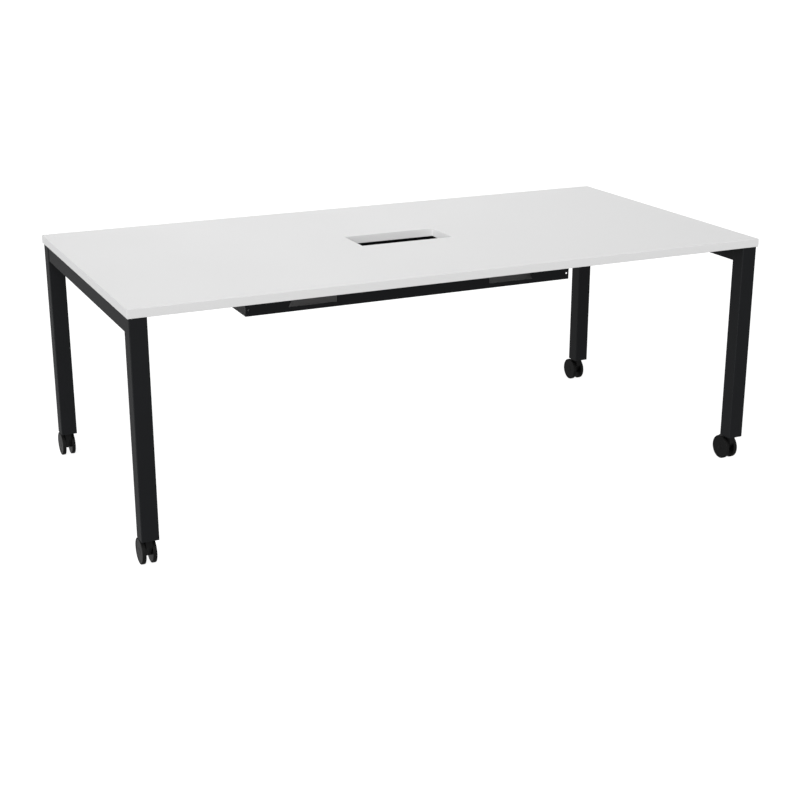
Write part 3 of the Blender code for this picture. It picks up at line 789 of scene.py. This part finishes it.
def tray_half(low, high, window):
    """The rear half about the tray's middle, from the middle of the floor up to the flange."""
    half_length = (high.x - low.x) / 2
    wall = TRAY_WALL_SPACING / 2
    reach = (high.y - low.y) / 2
    outer_bend = TRAY_INNER_BEND + TRAY_SHEET
    under_flange = high.z - low.z - TRAY_SHEET
    wall_top = under_flange - TRAY_INNER_BEND
    flange_start = wall + TRAY_INNER_BEND
    bm = tray_wall(half_length, outer_bend, wall_top, window)
    turn(bm, math.pi / 2, "X")
    move(bm, (0, wall, 0))
    floor = fold(bm, fold_line(bm, outer_bend, half_length), (0, wall - outer_bend, outer_bend))
    pull(bm, floor, (0, outer_bend - wall, 0))
    fold(bm, fold_line(bm, wall_top, half_length), (0, flange_start, wall_top))
    add_flange(bm, half_length, flange_start, reach, under_flange, (low + high) / 2)
    close_up(bm)
    return bm


def window_outline(half_length, from_end, length, height, slant):
    """A window's corners in the right half, upright at its inner and slanted at its outer end."""
    outer = half_length - from_end
    inner = outer - length
    top = WINDOW_SILL + height
    lean = height * math.tan(slant)
    return (inner, WINDOW_SILL), (outer, WINDOW_SILL), (outer - lean, top), (inner, top)


def tray_wall(half_length, low, high, window):
    """One wall, flat on the XY plane, with a window and a hole towards each end."""
    bm = new_shape()
    rim = add_outline(bm, ((-half_length, low), (half_length, low), (half_length, high),
                           (-half_length, high)))
    holes = []
    for sign in ENDS.values():
        end_hole = (sign * (half_length - END_HOLE_FROM_END), END_HOLE_FROM_FLOOR)
        holes.append(add_outline(bm, [(sign * x, z) for x, z in window], WINDOW_CORNER))
        holes.append(add_circle(bm, end_hole, END_HOLE_RADIUS))
    fill(bm, rim, *holes)
    return bm


def fold_line(bm, height, half_length):
    """The long edge of the sheet at this height, where its next fold starts."""
    return [edge for edge in bm.edges
            if edge.is_boundary and all(abs(vert.co.z - height) < MERGE for vert in edge.verts)
            and abs(span(edge).x) > half_length]


def fold(bm, edges, centre):
    """Bends the sheet square from an edge, round a line along X, and gives the edge at its end."""
    verts = list({vert for edge in edges for vert in edge.verts})
    made = bmesh.ops.spin(bm, geom=verts + edges, cent=centre, axis=(1, 0, 0),
                          angle=-math.pi / 2, steps=BEND_STEPS, use_merge=False)
    return [item for item in made["geom_last"] if isinstance(item, bmesh.types.BMEdge)]


def add_flange(bm, half_length, inner, outer, height, middle):
    """The flange with its screw holes, which joins the bend above the wall."""
    before = set(bm.verts)
    rim = add_outline(bm, ((-half_length, inner), (half_length, inner), (half_length, outer),
                           (-half_length, outer)))
    holes = []
    for name in ("left", "middle", "right"):
        place = middle_of(f"tray_screw_rear_{name}") - middle
        holes.append(add_circle(bm, place.xy, SCREW_RADIUS + SCREW_HOLE_GAP))
    fill(bm, rim, *holes)
    move(bm, (0, 0, height), [vert for vert in bm.verts if vert not in before])


def make_sockets():
    """Inserts in the legs' feet, each with a bore for the stem and four pockets."""
    half = (POCKET_OUTER - POCKET_INNER) / 2
    away = (POCKET_OUTER + POCKET_INNER) / 2
    outlines = [[(across * away + x, along * away + y) for x, y in rectangle(half, half)]
                for across in (-1, 1) for along in (-1, 1)]
    for side, end in CORNERS:
        node = f"leg_socket_{side}_{end}"
        low, high = node_box(node)
        size = high - low
        bm = new_shape()
        rim = add_outline(bm, rectangle(size.x / 2, size.y / 2), SOCKET_CORNER)
        bore = add_circle(bm, (0, 0), SOCKET_BORE)
        pockets = [add_outline(bm, outline, POCKET_CORNER) for outline in outlines]
        fill(bm, rim, bore, *pockets)
        for pocket in pockets:
            bmesh.ops.contextual_create(bm, geom=pull(bm, pocket, (0, 0, POCKET_DEPTH)))
        fill(bm, pull(bm, rim, (0, 0, size.z)), pull(bm, bore, (0, 0, size.z)))
        soften(bm, MOULDED_EDGE)
        move(bm, foot_of(low, high))
        add_piece(f"socket_{side}_{end}", bm, "table", nylon, [node])


def make_stems():
    flat = STEM_RADIUS - STEM_CHAMFER
    for side, end in CORNERS:
        node = f"caster_stem_{side}_{end}"
        low, high = node_box(node)
        length = high.z - low.z
        bm = turned([(0, length), (flat, length), (STEM_RADIUS, length - STEM_CHAMFER),
                     (STEM_RADIUS, STEM_CHAMFER), (flat, 0), (0, 0)], STEM_STEPS)
        move(bm, foot_of(low, high))
        add_piece(f"stem_{side}_{end}", bm, "table", zinc, [node])
        leg_foot = node_box(f"leg_{side}_{end}")[0].z
        bm = collar_shape()
        move(bm, Vector(((low.x + high.x) / 2, (low.y + high.y) / 2,
                         leg_foot - SEAT - COLLAR_THICKNESS)))
        add_piece(f"stem_collar_{side}_{end}", bm, "table", zinc)


def collar_shape():
    """A hexagon with chamfered edges round the stem."""
    bm = new_shape()
    to_corner = COLLAR_ACROSS_FLATS / 2 / math.cos(math.pi / COLLAR_SIDES)
    rim = add_circle(bm, (0, 0), to_corner, COLLAR_SIDES)
    fill(bm, rim, add_circle(bm, (0, 0), STEM_RADIUS, STEM_STEPS))
    thicken(bm, (0, 0, COLLAR_THICKNESS))
    soften(bm, COLLAR_CHAMFER)
    return bm


def make_wheels():
    for side, end in CORNERS:
        for face, sign in ENDS.items():
            node = f"wheel_{side}_{end}_{face}"
            low, high = node_box(node)
            radius = (high.z - low.z) / 2
            width = high.x - low.x
            inner = low.x if sign > 0 else high.x
            place = Matrix.Translation((inner, (low.y + high.y) / 2, (low.z + high.z) / 2))
            upright = place @ Matrix.Rotation(sign * math.pi / 2, 4, "Y")
            for name, outline, finish in (("disc", disc_outline(radius, width), disc),
                                          ("tread", tread_outline(radius, width), tread)):
                bm = turned(outline, WHEEL_STEPS)
                mark_rings(bm)
                bm.transform(upright)
                add_piece(f"{name}_{side}_{end}_{face}", bm, node, finish, [node])


def mark_rings(bm):
    """Each point's distance from the axle, way round it and height, for patterns that go round."""
    ring = bm.verts.layers.float_vector.new("ring")
    for vert in bm.verts:
        way_round = math.atan2(vert.co.y, vert.co.x)
        vert[ring] = (vert.co.xy.length, abs(way_round) * RING_RADIUS, vert.co.z)


def disc_outline(radius, width):
    """From the middle of the cap, over the dished outer face, to the end of the blind bore."""
    floor = width - DISH_DEPTH
    dish = radius - DISC_RIM
    edge = radius - TREAD_THICKNESS - SEAM
    return [
        (0, floor + CAP_RISE),
        *((CAP_RADIUS * out, floor + CAP_RISE * up) for out, up in CAP_DOME),
        (CAP_RADIUS, floor - CAP_GROOVE),
        (CAP_RADIUS + CAP_GROOVE, floor - CAP_GROOVE),
        (CAP_RADIUS + 2 * CAP_GROOVE, floor),
        *arc((dish - DISH_DEPTH, width), DISH_DEPTH, -90, 0, DISH_STEPS)[:-1],
        (dish + DISH_EDGE, width - DISH_EDGE),
        (dish + 3 * DISH_EDGE, width),
        (edge - DISC_EDGE, width),
        (edge, width - DISC_EDGE),
        (edge, 0),
        (BORE_RADIUS, 0),
        (BORE_RADIUS, BORE_DEPTH),
        (0, BORE_DEPTH),
    ]


def tread_outline(radius, width):
    """A closed ring section, a little crowned, that returns to where it starts."""
    inner = radius - TREAD_THICKNESS
    round_middle = radius - TREAD_CROWN - TREAD_EDGE
    return [
        (inner, width),
        *arc((round_middle, width - TREAD_EDGE), TREAD_EDGE, 90, 0, TREAD_EDGE_STEPS),
        (radius, width / 2),
        *arc((round_middle, TREAD_EDGE), TREAD_EDGE, 0, -90, TREAD_EDGE_STEPS),
        (inner, 0),
        (inner, width),
    ]


def make_caster_bodies():
    for side, end in CORNERS:
        node = f"caster_body_{side}_{end}"
        add_piece(f"fork_{side}_{end}", copied(node, MOULDED_EDGE), f"caster_{side}_{end}", nylon,
                  [node])


def make_brake_levers():
    """The levers' own solids with softened edges, and ridges across each tread."""
    for end in ENDS:
        node = f"brake_lever_front_{end}"
        pedal = copied(node, MOULDED_EDGE, LEVER_SMALLEST_SIDE)
        add_piece(f"pedal_{end}", pedal, node, nylon, [node])
        axle = middle_of(f"wheel_front_{end}_left").yz
        for number, angle in enumerate(RIDGE_ANGLES, 1):
            y, z = arc(axle, LEVER_REACH, angle, angle, 1)[0]
            bm = ridge_shape()
            move(bm, Vector((middle_of(node).x, y, z)))
            add_piece(f"pedal_ridge_{end}_{number}", bm, node, nylon)


def ridge_shape():
    """A rod along X with domed ends, which lies half sunk in the lever."""
    top = arc((0, RIDGE_LENGTH - RIDGE_RADIUS), RIDGE_RADIUS, RIDGE_DOME, 0, RIDGE_DOME_STEPS)
    bottom = arc((0, RIDGE_RADIUS), RIDGE_RADIUS, 0, -RIDGE_DOME, RIDGE_DOME_STEPS)
    bm = turned([(0, RIDGE_LENGTH), *top, *bottom, (0, 0)], RIDGE_STEPS)
    move(bm, (0, 0, -RIDGE_LENGTH / 2))
    turn(bm, math.pi / 2, "Y")
    return bm


def dress_pins():
    """Axles and lever pins show only as slivers between the wheels, so their solids stay."""
    for name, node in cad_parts.items():
        if name.startswith(("axle_", "lever_pin_")):
            for slot in node.material_slots:
                slot.material = zinc


# Studio

def make_camera():
    data = bpy.data.cameras.new("camera")
    data.lens = CAMERA_LENS
    data.sensor_width = SENSOR_WIDTH
    camera = bpy.data.objects.new("camera", data)
    low, high = node_box("table_top")
    camera.location = CAMERA_PLACE + Vector((0, (low.y + high.y) / 2, 0))
    camera.rotation_euler = CAMERA_VIEW.to_track_quat("-Z", "Y").to_euler()
    bpy.context.scene.collection.objects.link(camera)
    bpy.context.scene.camera = camera


def make_floor():
    """A pale floor with a glow of its own, seen by the camera but not by the table."""
    bm = bmesh.new()
    bmesh.ops.create_grid(bm, x_segments=1, y_segments=1, size=FLOOR_SIZE / 2)
    mesh = bpy.data.meshes.new("floor")
    bm.to_mesh(mesh)
    bm.free()
    floor = bpy.data.objects.new("floor", mesh)
    bpy.context.scene.collection.objects.link(floor)
    material = bpy.data.materials.new("pale_floor")
    material.use_nodes = True
    material.cycles.emission_sampling = "NONE"
    shader = material.node_tree.nodes["Principled BSDF"]
    shader.inputs["Base Color"].default_value = FLOOR_COLOUR
    shader.inputs["Roughness"].default_value = 1.0
    shader.inputs["Specular IOR Level"].default_value = 0.0
    shader.inputs["Emission Color"].default_value = WHITE
    shader.inputs["Emission Strength"].default_value = FLOOR_GLOW
    mesh.materials.append(material)
    floor.visible_diffuse = False
    floor.visible_glossy = False


def make_light():
    """A white room lit by a few wide soft lamps, most of them at the front and the left."""
    bpy.context.scene.view_settings.view_transform = "Standard"
    world = bpy.data.worlds.new("studio")
    bpy.context.scene.world = world
    world.use_nodes = True
    tree = world.node_tree
    nodes, links = tree.nodes, tree.links
    direction = nodes.new("ShaderNodeTexCoord").outputs["Generated"]
    height = nodes.new("ShaderNodeSeparateXYZ")
    links.new(direction, height.inputs["Vector"])
    dome = nodes.new("ShaderNodeMapRange")
    dome.interpolation_type = "SMOOTHSTEP"
    dome.inputs["From Min"].default_value = -HORIZON_BLUR
    dome.inputs["From Max"].default_value = HORIZON_BLUR
    dome.inputs["To Min"].default_value = LIGHT_BELOW
    dome.inputs["To Max"].default_value = LIGHT_ABOVE
    links.new(height.outputs["Z"], dome.inputs["Value"])
    light = dome.outputs["Result"]
    for way, strength, focus in LAMPS:
        light = add_lamp(tree, direction, light, way, strength, focus)
    lit = nodes["Background"]
    lit.inputs["Color"].default_value = WHITE
    links.new(light, lit.inputs["Strength"])
    backdrop = nodes.new("ShaderNodeBackground")
    backdrop.inputs["Color"].default_value = WHITE
    seen = nodes.new("ShaderNodeLightPath")
    either = nodes.new("ShaderNodeMixShader")
    links.new(seen.outputs["Is Camera Ray"], either.inputs["Fac"])
    links.new(lit.outputs["Background"], either.inputs[1])
    links.new(backdrop.outputs["Background"], either.inputs[2])
    links.new(either.outputs["Shader"], nodes["World Output"].inputs["Surface"])


def add_lamp(tree, direction, light, way, strength, focus):
    """Adds a soft lamp in one direction of the room to its light."""
    nodes, links = tree.nodes, tree.links
    facing = nodes.new("ShaderNodeVectorMath")
    facing.operation = "DOT_PRODUCT"
    facing.inputs[1].default_value = Vector(way).normalized()
    links.new(direction, facing.inputs[0])
    front = nodes.new("ShaderNodeMath")
    front.operation = "MAXIMUM"
    front.inputs[1].default_value = 0.0
    links.new(facing.outputs["Value"], front.inputs[0])
    lobe = nodes.new("ShaderNodeMath")
    lobe.operation = "POWER"
    lobe.inputs[1].default_value = focus
    links.new(front.outputs["Value"], lobe.inputs[0])
    lamp = nodes.new("ShaderNodeMath")
    lamp.operation = "MULTIPLY_ADD"
    lamp.inputs[1].default_value = strength
    links.new(lobe.outputs["Value"], lamp.inputs[0])
    links.new(light, lamp.inputs[2])
    return lamp.outputs["Value"]


white_board = white_melamine()
# Two copies of the one band plastic: the edge bands darkened with painted shade,
edging = white_plastic("white_edging_painted_shade", EDGING_WHITE_PAINTED_SHADE)
# and the port's lining lightened with painted light.
lining = white_plastic("port_lining_painted_light", LINING_WHITE_PAINTED_LIGHT)
frame_coat = powder_coat("frame_powder_coat", "frame_coat", FRAME_BLACK, FRAME_WORN)
tray_coat = powder_coat("tray_powder_coat", "tray_coat", TRAY_BLACK, TRAY_WORN)
nylon = moulded_nylon()
disc = wheel_disc()
tread = wheel_tread()
zinc = zinc_plate()

make_camera()
make_floor()
make_light()
make_board()
make_legs()
make_end_rails()
make_long_rails()
make_corner_plates()
make_screws()
make_tray()
make_sockets()
make_stems()
make_wheels()
make_caster_bodies()
make_brake_levers()
dress_pins()

bpy.context.view_layer.update()
